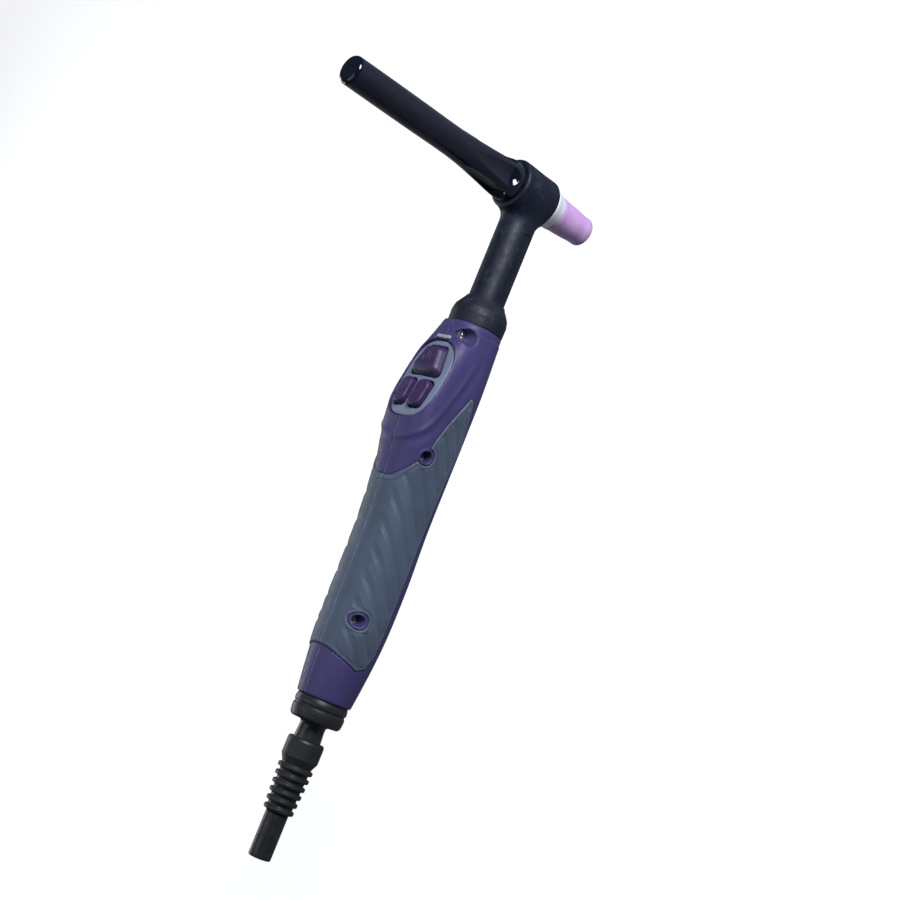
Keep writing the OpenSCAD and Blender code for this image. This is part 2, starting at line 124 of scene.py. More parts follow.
# Handle sections: distance from mouth, half width, height above the axis, depth below it, upper squareness
SECTIONS = np.array([
    (0, 14.2, 14.4, 14.0, 2.4),
    (8, 15.0, 15.6, 13.7, 3.4),
    (14, 15.9, 16.9, 13.5, 4.2),
    (30, 17.3, 19.4, 13.4, 6.0),
    (48, 17.5, 22.2, 13.6, 5.5),
    (56, 17.3, 22.6, 13.9, 4.4),
    (72, 16.6, 20.2, 14.6, 3.0),
    (100, 15.8, 17.2, 15.6, 2.5),
    (130, 16.4, 16.0, 17.0, 2.3),
    (158, 16.4, 15.4, 16.4, 2.3),
    (178, 14.8, 14.0, 14.6, 2.2),
    (190, 13.4, 13.0, 13.2, 2.1),
])
LOWER_SQUARE = 2.1


# ---------------------------------------------------------------- fields

def soft_min(a, b, k):
    """Smaller of two values, rounded over where they differ by less than k."""
    h = np.clip(0.5 + 0.5 * (b - a) / k, 0, 1)
    return b * (1 - h) + a * h - k * h * (1 - h)


def soft_max(a, b, k):
    return -soft_min(-a, -b, k)


def bump(d, width):
    """1 where d is 0, falling to nothing at about twice the width."""
    return np.exp(-(d / width) ** 2)


def ramp(x, start, end):
    """0 before start, 1 after end, smooth between them."""
    t = np.clip((x - start) / (end - start), 0, 1)
    return t * t * (3 - 2 * t)


def between(x, start, end):
    """Negative from start to end, positive outside."""
    return np.abs(x - (start + end) / 2) - (end - start) / 2


def smooth_table(keys, x):
    """Smooth curve through key points, given as rows of (x, value)."""
    kx, kv = np.asarray(keys, float).T
    slopes = np.gradient(kv, kx)
    i = np.clip(np.searchsorted(kx, x, side="right") - 1, 0, len(kx) - 2)
    h = kx[i + 1] - kx[i]
    u = np.clip((x - kx[i]) / h, 0, 1)
    return (kv[i] * (2 * u**3 - 3 * u**2 + 1) + kv[i + 1] * (3 * u**2 - 2 * u**3)
            + h * slopes[i] * (u**3 - 2 * u**2 + u) + h * slopes[i + 1] * (u**3 - u**2))


def squared_oval(a, b, half_a, half_b, square):
    """Oval with flattened sides: square is 2 for an ellipse and more for a boxier shape."""
    size = ((np.abs(a) / half_a) ** square + (np.abs(b) / half_b) ** square) ** (1 / square)
    return np.hypot(a, b) * (1 - 1 / np.maximum(size, 0.05))


STATIONS = np.linspace(-4, HANDLE_LEN + 4, 800)
WIDTH, ABOVE, BELOW, SQUARE = (smooth_table(SECTIONS[:, [0, c]], STATIONS) for c in (1, 2, 3, 4))


def handle_field(p, inset=0.0):
    """The handle's outer skin, moved inwards by inset."""
    s = MOUTH_X - p[:, 0]
    y, z = p[:, 1], p[:, 2] - AXIS_Z
    upper = z > 0
    w = np.interp(s, STATIONS, WIDTH) - inset
    h = np.where(upper, np.interp(s, STATIONS, ABOVE), np.interp(s, STATIONS, BELOW)) - inset
    return squared_oval(y, z, w, h, np.where(upper, np.interp(s, STATIONS, SQUARE), LOWER_SQUARE))


def rod_field(p, point, axis, radius):
    """Endless rod along a row axis: axis is 0, 1 or 2."""
    d = np.delete(p - np.asarray(point), axis, axis=1)
    return np.hypot(d[:, 0], d[:, 1]) - radius


def neck_rod(p, radius):
    """Endless rod on the axis of neck and handle."""
    return rod_field(p, (0, 0, AXIS_Z), 0, radius)


def to_panel(p):
    """Points in the panel's own frame: along it towards the head, across it, and out of it."""
    x = p[:, 0] - (MOUTH_X - PANEL_D)
    z = p[:, 2] - (AXIS_Z + PANEL_Z)
    c, s = math.cos(TILT), math.sin(TILT)
    return np.stack([x * c - z * s, p[:, 1], x * s + z * c], 1)


def egg_field(a, b, grow=0.0):
    """Outline of the panel in its own plane."""
    return squared_oval(a, b, *(PANEL_HALF + grow), PANEL_SQUARE)


def crown_field(q, lift):
    """Negative below the panel's crowned surface, which lift raises."""
    return np.hypot(q[:, 1], q[:, 2] - (PANEL_CROWN - CROWN_R + lift)) - CROWN_R


def segment_distance(a, b, start, end):
    da, db = end[0] - start[0], end[1] - start[1]
    t = np.clip(((a - start[0]) * da + (b - start[1]) * db) / (da * da + db * db), 0, 1)
    return np.hypot(a - start[0] - t * da, b - start[1] - t * db)


def polygon_field(a, b, corners, radius):
    """Distance to a convex outline with rounded corners."""
    c = np.asarray(corners, float)
    normals, reaches = [], []
    for p0, p1 in zip(c, np.roll(c, -1, axis=0)):
        n = np.array([p1[1] - p0[1], p0[0] - p1[0]])
        n *= np.sign(n @ (p0 - c.mean(0))) / np.linalg.norm(n)
        normals.append(n)
        reaches.append(n @ p0 - radius)
    inner = np.max([n[0] * a + n[1] * b - reach for n, reach in zip(normals, reaches)], axis=0)
    sides = range(len(c))
    centres = [np.linalg.solve([normals[i - 1], normals[i]], [reaches[i - 1], reaches[i]]) for i in sides]
    outer = np.min([segment_distance(a, b, centres[i - 1], centres[i]) for i in sides], axis=0)
    return np.where(inner > 0, outer, inner) - radius


# ---------------------------------------------------------------- meshes

def add_object(name, verts, faces, smooth=True):
    mesh = bpy.data.meshes.new(name)
    mesh.from_pydata((np.asarray(verts) * MM).tolist(), [], [list(map(int, f)) for f in faces])
    mesh.validate()
    mesh.polygons.foreach_set("use_smooth", [smooth] * len(mesh.polygons))
    mesh.update()
    obj = bpy.data.objects.new(name, mesh)
    bpy.context.scene.collection.objects.link(obj)
    return obj


def dress(obj, body, paint, node):
    """Finishes a piece that stands for a CAD node and rides on its body."""
    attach(obj, body)
    obj.data.materials.append(PAINT[paint])
    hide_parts(node)


def surface_net(field, lo, hi, cell):
    """Closed quad mesh of the surface where field is 0, inside the box from lo to hi."""
    lo = np.asarray(lo, float) - 1.5 * cell
    n = np.ceil((np.asarray(hi, float) + 1.5 * cell - lo) / cell).astype(int) + 1
    ys, zs = (g.ravel() for g in np.meshgrid(
        lo[1] + cell * np.arange(n[1]), lo[2] + cell * np.arange(n[2]), indexing="ij"))
    values = np.empty(n)
    for i in range(n[0]):
        values[i] = field(np.stack([np.full(ys.size, lo[0] + cell * i), ys, zs], 1)).reshape(n[1], n[2])
    inside = values < 0
    cells = n - 1
    strides = np.array([cells[1] * cells[2], cells[2], 1])
    count = np.zeros(cells.prod())
    total = np.zeros((3, cells.prod()))
    faces = []
    for axis in range(3):
        u, v = (axis + 1) % 3, (axis + 2) % 3
        head, tail = [slice(None)] * 3, [slice(None)] * 3
        head[axis], tail[axis] = slice(0, -1), slice(1, None)
        edges = np.argwhere(inside[tuple(head)] != inside[tuple(tail)])
        ends = edges.copy()
        ends[:, axis] += 1
        a, b = values[tuple(edges.T)], values[tuple(ends.T)]
        point = edges.astype(float)
        point[:, axis] += a / (a - b)
        ring = []
        for du, dv in ((0, 0), (1, 0), (1, 1), (0, 1)):
            corner = edges.copy()
            corner[:, u] -= du
            corner[:, v] -= dv
            index = corner @ strides
            ring.append(index)
            count += np.bincount(index, minlength=count.size)
            for k in range(3):
                total[k] += np.bincount(index, point[:, k], minlength=count.size)
        ring = np.stack(ring, 1)
        ring[a > 0] = ring[a > 0][:, ::-1]
        faces.append(ring)
    used = np.flatnonzero(count)
    place = np.full(count.size, -1)
    place[used] = np.arange(used.size)
    verts = lo + cell * (total[:, used] / count[used]).T
    return settle(field, verts, cell), place[np.concatenate(faces)]


def settle(field, verts, cell):
    """Moves points along the field's slope until they lie on its surface."""
    step = 0.02
    for _ in range(3):
        value = field(verts)
        rise = [field(verts + step * e) - field(verts - step * e) for e in np.eye(3)]
        slope = np.stack(rise, 1) / (2 * step)
        move = (value / np.maximum((slope ** 2).sum(1), 0.05))[:, None] * slope
        verts = verts - np.clip(move, -0.4 * cell, 0.4 * cell)
    return verts


def moulded(name, field, lo, hi, cell):
    return add_object(name, *surface_net(field, lo, hi, cell * COARSE))


FILLET_STEPS = 5


def arc_profile(corners):
    """Closed outline of (radius, height) points, from corners given as (radius, height, fillet)."""
    out = []
    n = len(corners)
    for i, (r, z, fillet) in enumerate(corners):
        q = np.array([r, z], float)
        if fillet == 0:
            out.append(q)
            continue
        before, after = (np.array(corners[k % n][:2], float) - q for k in (i - 1, i + 1))
        reach = min(np.linalg.norm(before), np.linalg.norm(after)) * 0.49     # leaves room for the next one
        u, v = before / np.linalg.norm(before), after / np.linalg.norm(after)
        half = math.acos(np.clip(u @ v, -1, 1)) / 2
        if half > math.radians(88):
            out.append(q)
            continue
        cut = min(fillet / math.tan(half), reach)
        radius = cut * math.tan(half)
        centre = q + (u + v) / np.linalg.norm(u + v) * radius / math.sin(half)
        for t in np.linspace(0, 1, FILLET_STEPS):
            w = q + u * cut * (1 - t) + v * cut * t - centre
            out.append(centre + w / np.linalg.norm(w) * radius)
    return np.array(out)


def spread_profile(profile, longest):
    """Adds points so that no step along the closed profile is longer than this."""
    out = []
    for a, b in zip(profile, np.roll(profile, -1, axis=0)):
        pieces = max(1, math.ceil(np.linalg.norm(b - a) / longest))
        out += [a + (b - a) * k / pieces for k in range(pieces)]
    return np.array(out)


def lathe(name, corners, along_x, around, longest, shape=None):
    """Turned part whose closed profile is (radius, height, fillet) corners. shape may move its points.

    The axis is the electrode's or, along x, the neck's. longest is the longest step along the profile.
    """
    profile = spread_profile(arc_profile(corners), longest * COARSE)
    around = int(around / COARSE)
    turn = np.linspace(0, 2 * math.pi, around, endpoint=False)
    r, h = np.repeat(profile[:, 0], around), np.repeat(profile[:, 1], around)
    t = np.tile(turn, len(profile))
    if along_x:
        verts = np.stack([h, r * np.cos(t), AXIS_Z + r * np.sin(t)], 1)
    else:
        verts = np.stack([r * np.cos(t), r * np.sin(t), h], 1)
    if shape:
        verts = shape(verts, r, h, t)
    index = np.arange(len(verts)).reshape(len(profile), around)
    beside, above = np.roll(index, -1, axis=1), np.roll(index, -1, axis=0)
    faces = np.stack([index, beside, np.roll(above, -1, axis=1), above], 2).reshape(-1, 4)
    obj = add_object(name, verts, faces)
    close_poles(obj)
    return obj


def close_poles(obj):
    """Joins points that meet on the axis and makes all faces point outwards."""
    bm = bmesh.new()
    bm.from_mesh(obj.data)
    bmesh.ops.remove_doubles(bm, verts=bm.verts, dist=1e-6)
    bmesh.ops.dissolve_degenerate(bm, edges=bm.edges, dist=1e-7)
    bmesh.ops.recalc_face_normals(bm, faces=bm.faces)
    bm.to_mesh(obj.data)
    bm.free()


def crisp(obj, degrees):
    """Keeps edges sharper than this angle crisp in the shading."""
    obj.data.set_sharp_from_angle(angle=math.radians(degrees))
    return obj


# ---------------------------------------------------------------- materials

def set_inputs(node, values):
    for key, value in values.items():
        node.inputs[key].default_value = value


class Nodes:
    """Short hand for building one node material in object space."""

    def __init__(self, name, rough, metallic=0.0):
        self.material = bpy.data.materials.new(name)
        self.material.use_nodes = True
        self.tree = self.material.node_tree
        self.tree.nodes.clear()
        self.bsdf = self.add("ShaderNodeBsdfPrincipled")
        set_inputs(self.bsdf, {"Metallic": metallic, "Roughness": rough})
        out = self.add("ShaderNodeOutputMaterial")
        self.link(self.bsdf.outputs[0], out.inputs[0])
        self.place = self.add("ShaderNodeTexCoord").outputs["Object"]
        self.height = None

    def add(self, kind, **settings):
        node = self.tree.nodes.new(kind)
        for key, value in settings.items():
            setattr(node, key, value)
        return node

    def link(self, a, b):
        self.tree.links.new(a, b)

    def feed(self, socket, value):
        """Gives a socket a number, a colour or another node's output."""
        if isinstance(value, (int, float)):
            socket.default_value = value
        elif isinstance(value, tuple):
            socket.default_value = (*value, 1.0)
        else:
            self.link(value, socket)

    def stretched(self, scale):
        node = self.add("ShaderNodeMapping")
        set_inputs(node, {"Scale": scale})
        self.link(self.place, node.inputs["Vector"])
        return node.outputs[0]

    def noise(self, size_mm, detail=3.0, rough=0.55, stretch=None, distortion=0.0):
        """Noise whose blotches are about this many millimetres across."""
        node = self.add("ShaderNodeTexNoise")
        set_inputs(node, {
            "Scale": 1 / (size_mm * MM), "Detail": detail, "Roughness": rough, "Distortion": distortion,
        })
        self.link(self.stretched(stretch) if stretch else self.place, node.inputs["Vector"])
        return node.outputs["Fac"]

    def cells(self, size_mm):
        """Distance from the nearest of scattered points that lie about this far apart."""
        node = self.add("ShaderNodeTexVoronoi")
        set_inputs(node, {"Scale": 1 / (size_mm * MM)})
        self.link(self.place, node.inputs["Vector"])
        return node.outputs["Distance"]

    def range(self, value, from_low, from_high, to_low=0.0, to_high=1.0):
        node = self.add("ShaderNodeMapRange")
        set_inputs(node, {"From Min": from_low, "From Max": from_high, "To Min": to_low, "To Max": to_high})
        self.link(value, node.inputs["Value"])
        return node.outputs[0]

    def math(self, kind, a, b):
        node = self.add("ShaderNodeMath", operation=kind)
        self.feed(node.inputs[0], a)
        self.feed(node.inputs[1], b)
        return node.outputs[0]

    def mix(self, fac, a, b):
        node = self.add("ShaderNodeMix", data_type="RGBA")
        for socket, value in zip((node.inputs[0], node.inputs[6], node.inputs[7]), (fac, a, b)):
            self.feed(socket, value)
        return node.outputs[2]

    def edges(self, start=0.52, end=0.6):
        """1 on outward edges, from the mesh's own curvature."""
        node = self.add("ShaderNodeNewGeometry")
        return self.range(node.outputs["Pointiness"], start, end)

    def raise_by(self, value, height_mm):
        """Adds relief: value 1 stands this much above value 0."""
        part = self.math("MULTIPLY", value, height_mm * MM)
        self.height = part if self.height is None else self.math("ADD", self.height, part)

    def colour(self, value):
        self.link(value, self.bsdf.inputs["Base Color"])

    def roughness(self, value):
        self.link(value, self.bsdf.inputs["Roughness"])

    def done(self):
        if self.height is not None:
            node = self.add("ShaderNodeBump")
            set_inputs(node, {"Strength": 1.0, "Distance": 1.0})
            self.link(self.height, node.inputs["Height"])
            self.link(node.outputs[0], self.bsdf.inputs["Normal"])
        return self.material


def shade(colour, factor):
    return tuple(min(1.0, c * factor) for c in colour)


def moulded_plastic(name, colour, rough, grain_mm, grain_height, wear):
    """Fine spark-eroded plastic: pebbled grain, slight colour drift, paler scuffed edges."""
    m = Nodes(name, rough)
    base = m.mix(m.range(m.noise(22, 4), 0.3, 0.7), shade(colour, 0.86), shade(colour, 1.13))
    scuff = m.math("MULTIPLY", m.edges(), m.range(m.noise(4, 5, 0.7), 0.42, 0.62))
    rub = m.range(m.noise(9, 6, 0.75, (1, 3, 3)), 0.6, 0.78)
    worn = m.math("MULTIPLY", m.math("MAXIMUM", scuff, m.math("MULTIPLY", rub, 0.35)), wear)
    m.colour(m.mix(worn, base, shade(colour, 2.1)))
    m.raise_by(m.noise(grain_mm, 2, 0.6), grain_height)
    m.raise_by(m.noise(6, 3), 0.02)
    m.roughness(m.math("ADD", m.range(m.noise(3, 4), 0.3, 0.7, rough - 0.06, rough + 0.08),
                       m.math("MULTIPLY", rub, -0.06)))
    set_inputs(m.bsdf, {"Specular IOR Level": 0.45})
    return m.done()


def rubber(name, colour, rough, grain_mm, grain_height, dust):
    """Moulded rubber: soft mottling, rubbed sheen, fine dust specks."""
    m = Nodes(name, rough)
    base = m.mix(m.range(m.noise(14, 5, 0.6), 0.3, 0.7), shade(colour, 0.75), shade(colour, 1.3))
    speck = m.range(m.cells(1.6), 0.12, 0.05)
    rare = m.range(m.noise(5, 2), 0.56, 0.66)
    bloom = m.range(m.noise(7, 6, 0.7), 0.55, 0.8)
    specks = m.math("MULTIPLY", m.math("MULTIPLY", speck, rare), 0.8)
    dusty = m.math("ADD", specks, m.math("MULTIPLY", bloom, 0.25))
    m.colour(m.mix(m.math("MULTIPLY", dusty, dust), base, (0.32, 0.33, 0.34)))
    m.raise_by(m.noise(grain_mm, 3, 0.65), grain_height)
    m.raise_by(m.noise(5, 4), 0.03)
    m.roughness(m.range(m.noise(4, 5, 0.6), 0.3, 0.7, rough - 0.12, rough + 0.12))
    set_inputs(m.bsdf, {"Specular IOR Level": 0.42})
    return m.done()


def grip_rubber():
    """Blue-grey soft-touch rubber, with a painted highlight on its raised edges and painted shade in its
    channels.
    """
    colour = (0.062, 0.088, 0.138)
    m = Nodes("grip_rubber", 0.62)
    base = m.mix(m.range(m.noise(18, 4), 0.3, 0.7), shade(colour, 0.84), shade(colour, 1.15))
    # painted highlight: paler colour along the raised edges, broken up by noise
    rim = m.math("MULTIPLY", m.edges(0.515, 0.58), m.range(m.noise(3, 4), 0.3, 0.6))
    # painted shade: darker colour in the hollows between the raised strips
    hollow = m.math("SUBTRACT", 1.0, m.edges(0.44, 0.495))
    channel_shaded = m.mix(m.math("MULTIPLY", hollow, 0.55), base, shade(colour, 0.35))
    m.colour(m.mix(m.math("MULTIPLY", rim, 0.5), channel_shaded, (0.27, 0.33, 0.4)))
    m.raise_by(m.noise(0.32, 2, 0.6), 0.016)
    m.raise_by(m.noise(3.5, 3), 0.02)
    m.roughness(m.range(m.noise(5, 4), 0.3, 0.7, 0.52, 0.72))
    set_inputs(m.bsdf, {"Specular IOR Level": 0.4, "Sheen Weight": 0.12, "Sheen Roughness": 0.5})
    return m.done()


def gloss_black():
    """Polished phenolic: deep gloss with hairline scratches, finger smears and faint ripples."""
    m = Nodes("cap_phenolic", 0.1)
    smear = m.range(m.noise(8, 6, 0.7, (1, 1, 0.4), 0.6), 0.5, 0.75)
    hair = m.range(m.noise(0.5, 2, 0.5, (1, 1, 0.03)), 0.62, 0.7)
    m.colour(m.mix(m.math("MULTIPLY", smear, 0.35), (0.002, 0.004, 0.015), (0.016, 0.02, 0.034)))
    m.roughness(m.math("ADD", m.range(smear, 0, 1, 0.07, 0.24), m.math("MULTIPLY", hair, 0.12)))
    m.raise_by(m.noise(9, 2), 0.02)
    m.raise_by(hair, -0.0012)
    set_inputs(m.bsdf, {"Specular IOR Level": 0.45, "Coat Weight": 0.3, "Coat Roughness": 0.06})
    return m.done()


def ceramic(name, colour, stained):
    """Fired alumina: chalky surface with fine pits and cloudy colour, and a heat stain at the mouth."""
    m = Nodes(name, 0.48)
    cloud = m.range(m.noise(7, 5, 0.6), 0.3, 0.7)
    base = m.mix(cloud, shade(colour, 0.92), shade(colour, 1.07))
    pit = m.range(m.cells(1.1), 0.1, 0.03)
    rare = m.range(m.noise(3, 2), 0.5, 0.62)
    base = m.mix(m.math("MULTIPLY", m.math("MULTIPLY", pit, rare), 0.5), base, shade(colour, 0.45))
    if stained:
        split = m.add("ShaderNodeSeparateXYZ")
        m.link(m.place, split.inputs[0])
        wavy = m.math("ADD", split.outputs["Z"], m.range(m.noise(4, 4), 0, 1, -0.0014, 0.0014))
        stain = m.range(wavy, 0.0034, 0.0, 0.0, 0.4)
        base = m.mix(stain, base, (0.3, 0.2, 0.24))
    m.colour(base)
    m.raise_by(m.noise(0.28, 3, 0.6), 0.01)
    m.raise_by(pit, -0.02)
    m.roughness(m.range(m.noise(2.5, 4), 0.3, 0.7, 0.4, 0.6))
    set_inputs(m.bsdf, {"Subsurface Weight": 0.08, "Subsurface Radius": (0.0015, 0.0008, 0.0012)})
    return m.done()


def metal(name, colour, rough, turned=(1, 1, 1)):
    """Machined metal with tarnish and fine tool marks, which turned stretches along an axis."""
    m = Nodes(name, rough, 1.0)
    tarnish = m.range(m.noise(5, 6, 0.7), 0.45, 0.75)
    m.colour(m.mix(m.math("MULTIPLY", tarnish, 0.6), colour, shade(colour, 0.45)))
    lines = m.noise(0.25, 2, 0.5, turned)
    m.raise_by(lines, 0.006)
    dull = m.math("MULTIPLY", tarnish, 0.15)
    m.roughness(m.math("ADD", m.range(lines, 0.3, 0.7, rough - 0.08, rough + 0.1), dull))
    return m.done()


# Plastics and rubbers: name, colour, roughness, size and height of the grain in mm, wear or dust
PAINT = {
    "shell": moulded_plastic("shell_plastic", (0.05, 0.04, 0.145), 0.5, 0.3, 0.014, 0.16),
    "button": moulded_plastic("button_plastic", (0.04, 0.021, 0.088), 0.46, 0.3, 0.01, 0.3),
    "bezel": moulded_plastic("bezel_plastic", (0.16, 0.2, 0.285), 0.52, 0.4, 0.02, 0.4),
    "tab": moulded_plastic("tab_plastic", (0.3, 0.33, 0.4), 0.42, 0.4, 0.01, 0.4),
    "swivel": moulded_plastic("swivel_plastic", (0.016, 0.017, 0.02), 0.42, 0.35, 0.014, 0.15),
    "head": rubber("head_rubber", (0.003, 0.0065, 0.02), 0.52, 0.6, 0.018, 0.4),
    "boot": rubber("boot_rubber", (0.0045, 0.0075, 0.019), 0.58, 0.5, 0.03, 0.6),
    "relief": rubber("relief_rubber", (0.014, 0.015, 0.017), 0.5, 0.5, 0.02, 0.3),
    "cable": rubber("cable_sheath", (0.013, 0.014, 0.016), 0.4, 0.8, 0.02, 0.25),
    "seal": rubber("seal_rubber", (0.012, 0.012, 0.013), 0.35, 0.5, 0.005, 0.05),
    "grip": grip_rubber(),
    "cap": gloss_black(),
    "knuckle": moulded_plastic("knuckle_nylon", (0.02, 0.021, 0.024), 0.3, 0.5, 0.006, 0.1),
    "nozzle": ceramic("pink_ceramic", (0.66, 0.4, 0.77), True),
    "ring": ceramic("white_insulator", (0.86, 0.89, 0.95), False),
    "brass": metal("brass", (0.72, 0.52, 0.22), 0.3),
    "copper": metal("copper", (0.78, 0.42, 0.25), 0.28),
    "tungsten": metal("tungsten", (0.42, 0.43, 0.46), 0.34, (1, 1, 0.05)),
    "steel": metal("zinc_steel", (0.6, 0.6, 0.63), 0.24),
    "board": moulded_plastic("solder_mask", (0.02, 0.11, 0.045), 0.3, 0.8, 0.01, 0.1),
}


# ---------------------------------------------------------------- head and neck

def head_field(p):
    """Rubber cover of head and neck in one piece, hollow for the metal core."""
    x, y, z = p.T
    rho, around = np.hypot(x, y), np.hypot(y, z - AXIS_Z)
    radius = np.interp(z, (HEAD_Z0, HEAD_Z0 + 1.8, AXIS_Z, HEAD_Z1 - 5, HEAD_Z1),
                       (HEAD_R - 0.9, HEAD_R - 0.45, HEAD_R - 0.4, HEAD_R, HEAD_R))
    head = soft_max(rho - radius, between(z, HEAD_Z0, HEAD_Z1), 1.8)
    neck = soft_max(around - NECK_R, x, 2)
    body = soft_min(head, neck, 5.5)
    # shallow label pocket on the neck, which faces the near side and a little down
    turn, depth = math.radians(21.7), 0.6
    facing = -math.cos(turn) * y - math.sin(turn) * (z - AXIS_Z)
    across = math.sin(turn) * y - math.cos(turn) * (z - AXIS_Z)
    pocket = np.maximum(np.maximum(between(x, -50, -20), between(across, -3.8, 3.8)), NECK_R - depth - around)
    body = soft_max(body, -np.maximum(pocket, -facing), 0.3)
    body = soft_max(body, NECK_TAIL - x, 0.4)
    # bores for the metal core, the back cap's seat, the cup's ring and the neck tube
    core_top = HEAD_Z1 - 2.6
    core = np.maximum(rho - CORE_R, between(z, CORE_FOOT - 0.05, core_top))
    seat = np.maximum(rho - CAP_SEAT_R, core_top - z)
    front = np.maximum(rho - RING_SEAT_R, z - CORE_FOOT)
    tube = np.maximum(around - TUBE_R, x)
    bore = np.minimum(np.minimum(core, seat), np.minimum(front, tube))
    return soft_max(body, -bore, 0.3)


def make_head():
    lo = (NECK_TAIL, -HEAD_R - 1, HEAD_Z0)
    hi = (HEAD_R, HEAD_R + 1, HEAD_Z1)
    obj = moulded("head_rubber", head_field, lo, hi, 0.5)
    dress(obj, "torch", "head", "head_cover")


def make_boot():
    m, bore = MOUTH_X, NECK_R + 0.05
    corners = [
        (bore, m + TRIM, 0), (13.95, m + TRIM, 0.4), (14.1, m + 6, 2.5), (13.4, m + 9.2, 2.5),
        (12.0, m + 11.4, 2), (10.5, m + 13.6, 1.5), (9.75, m + 15, 0.4), (bore, m + 15, 0),
    ]
    obj = lathe("neck_boot_rubber", corners, True, 144, 1.0)
    dress(obj, "torch", "boot", "neck_boot")


# ---------------------------------------------------------------- front end

def make_front_end():
    top = NOZZLE_TOP
    nozzle = [
        (5.6, 0.5, 0.5), (6.1, 0, 0.5), (7.5, 0, 1.3), (7.55, 5, 5), (8.1, 10, 8), (8.4, 15, 8),
        (8.6, 19.4, 5), (9.0, 21.8, 3), (9.0, top, 0.5), (6.33, top, 0.2), (6.33, 14.2, 0.2), (5.6, 13, 0.3),
    ]
    obj = lathe("ceramic_cup", nozzle, False, 128, 0.8)
    dress(obj, "nozzle", "nozzle", "gas_nozzle")
    z0, z1 = top + 0.05, HEAD_Z0 - 0.05
    ring = [
        (6.34, z0, 0.3), (RING_R - 1.8, z0, 0.3), (RING_R - 1.4, z0 + 1.6, 2), (RING_R - 0.8, z0 + 3.4, 2),
        (RING_R - 0.1, z0 + 5.1, 1.5), (RING_R + 0.2, z1, 0.3), (6.85, z1, 0),
        (6.85, CORE_FOOT - 0.1, 0.2), (6.34, CORE_FOOT - 0.1, 0),
    ]
    obj = lathe("heat_shield_ring", ring, False, 128, 1.0)
    dress(obj, "nozzle_ring", "ring", "insulator_ring")


# ---------------------------------------------------------------- back cap

CAP_FLUTES = 5
FLUTE_TURN = math.radians(-20)
SCOOP_R, SCOOP_X = 9.0, 16.4            # each scoop is a round gouge, its axis this far from the cap's
SCOOP_Z = 8.2                           # below this height it ends in a bowl
SCOOP_BOWL = 1.3                        # how steep the bowl is
SCOOP_FADE = (26, 38)                   # heights between which it runs out
CAP_OUTLINE = [                         # height above the cap's foot, radius
    (0, 10.1), (0.6, 10.5), (2.6, 10.5), (6.6, 10.25), (10.6, 9.85), (14.6, 9.35), (20.6, 8.7), (26.6, 8.05),
    (32.6, 7.55), (40, 7.2), (50, 7.15), (65, 7.25), (84, 7.25), (100, 7.2), (109, 7.1),
]


def flute_shape(verts, r, h, t):
    """Scoops the finger flutes out of the flared foot."""
    z = h - CAP_FOOT
    pitch = 2 * math.pi / CAP_FLUTES
    angle = (t - FLUTE_TURN + pitch / 2) % pitch - pitch / 2
    reach = SCOOP_R ** 2 - (SCOOP_BOWL * np.maximum(0, SCOOP_Z - z)) ** 2 - (SCOOP_X * np.sin(angle)) ** 2
    floor = SCOOP_X * np.cos(angle) - np.sqrt(np.maximum(reach, 0)) + ramp(z, *SCOOP_FADE)
    outside = (r > 6.4) & (z > 1.5)
    scale = np.where((reach > 0) & outside, soft_min(r, floor, 0.3) / np.maximum(r, 1e-6), 1)
    return verts * np.stack([scale, scale, np.ones_like(scale)], 1)


def make_cap():
    foot, stem = CAP_FOOT, 5.4
    groove = foot - 2.6
    first, *middle, last = CAP_OUTLINE
    outline = [(r, foot + z, 0.6 if z < 1 else 12) for z, r in middle]
    corners = [
        (0, STEM_FOOT, 0), (1.7, STEM_FOOT, 0), (stem, STEM_FOOT, 0.4), (stem, groove - 0.8, 0.1),
        (stem - 1, groove - 0.8, 0.1), (stem - 1, groove + 0.8, 0.1), (7.4, groove + 0.8, 0.1),
        (7.4, foot, 0.1), (first[1], foot, 0.3), *outline, (last[1], CAP_TOP, 2.0), (0, CAP_TOP, 0),
    ]
    obj = lathe("back_cap_moulding", corners, False, 320, 0.45, flute_shape)
    dress(obj, "cap", "cap", "back_cap")


# ---------------------------------------------------------------- handle

CREST_KEYS = np.array([      # distance from mouth, distance from the middle plane, height above the axis
    (14, 16.3, 3.6), (21.8, 16.7, 5.5), (29.8, 17.3, 7.8), (38.2, 17.5, 10.9), (50, 17.0, 15.0),
    (56.5, 15.5, 18.1), (60.7, 11.0, 21.1), (63.0, 5.5, 21.8), (63.6, 0, 22.0), (63.0, -5.5, 21.8),
])
CREST = np.stack([smooth_table(list(enumerate(keys)), np.linspace(0, 8, 25)) for keys in CREST_KEYS.T], 1)


def ridge_detail(p):
    """Soft crest that sweeps round the panel, with a shallow valley on each side."""
    q = np.stack([MOUTH_X - p[:, 0], np.abs(p[:, 1]), p[:, 2] - AXIS_Z], 1)
    near = np.flatnonzero((q[:, 0] > 8) & (q[:, 0] < 76) & (q[:, 2] > 0))
    q = q[near]
    far = np.full(len(q), np.inf)
    for start, end in zip(CREST, CREST[1:]):
        e = end - start
        t = np.clip((q - start) @ e / (e @ e), 0, 1)
        far = np.minimum(far, np.linalg.norm(q - start - t[:, None] * e, axis=1))
    inside = q[:, 2] > np.interp(q[:, 0], CREST[:, 0], CREST[:, 2])
    d = np.where(inside, far, -far)
    shape = bump(d, 1.2) * 0.42 - bump(d + 3.2, 2.0) * 0.35 - bump(d - 3.6, 2.6) * 0.22
    out = np.zeros(len(p))
    out[near] = shape * ramp(q[:, 0], 12, 26)
    return out


def panel_rim_detail(p):
    """Raised lip round the panel's opening."""
    q = to_panel(p)
    d = egg_field(q[:, 0], q[:, 1])
    return bump(d - 1.0, 0.8) * 0.35 * (q[:, 2] > -5)


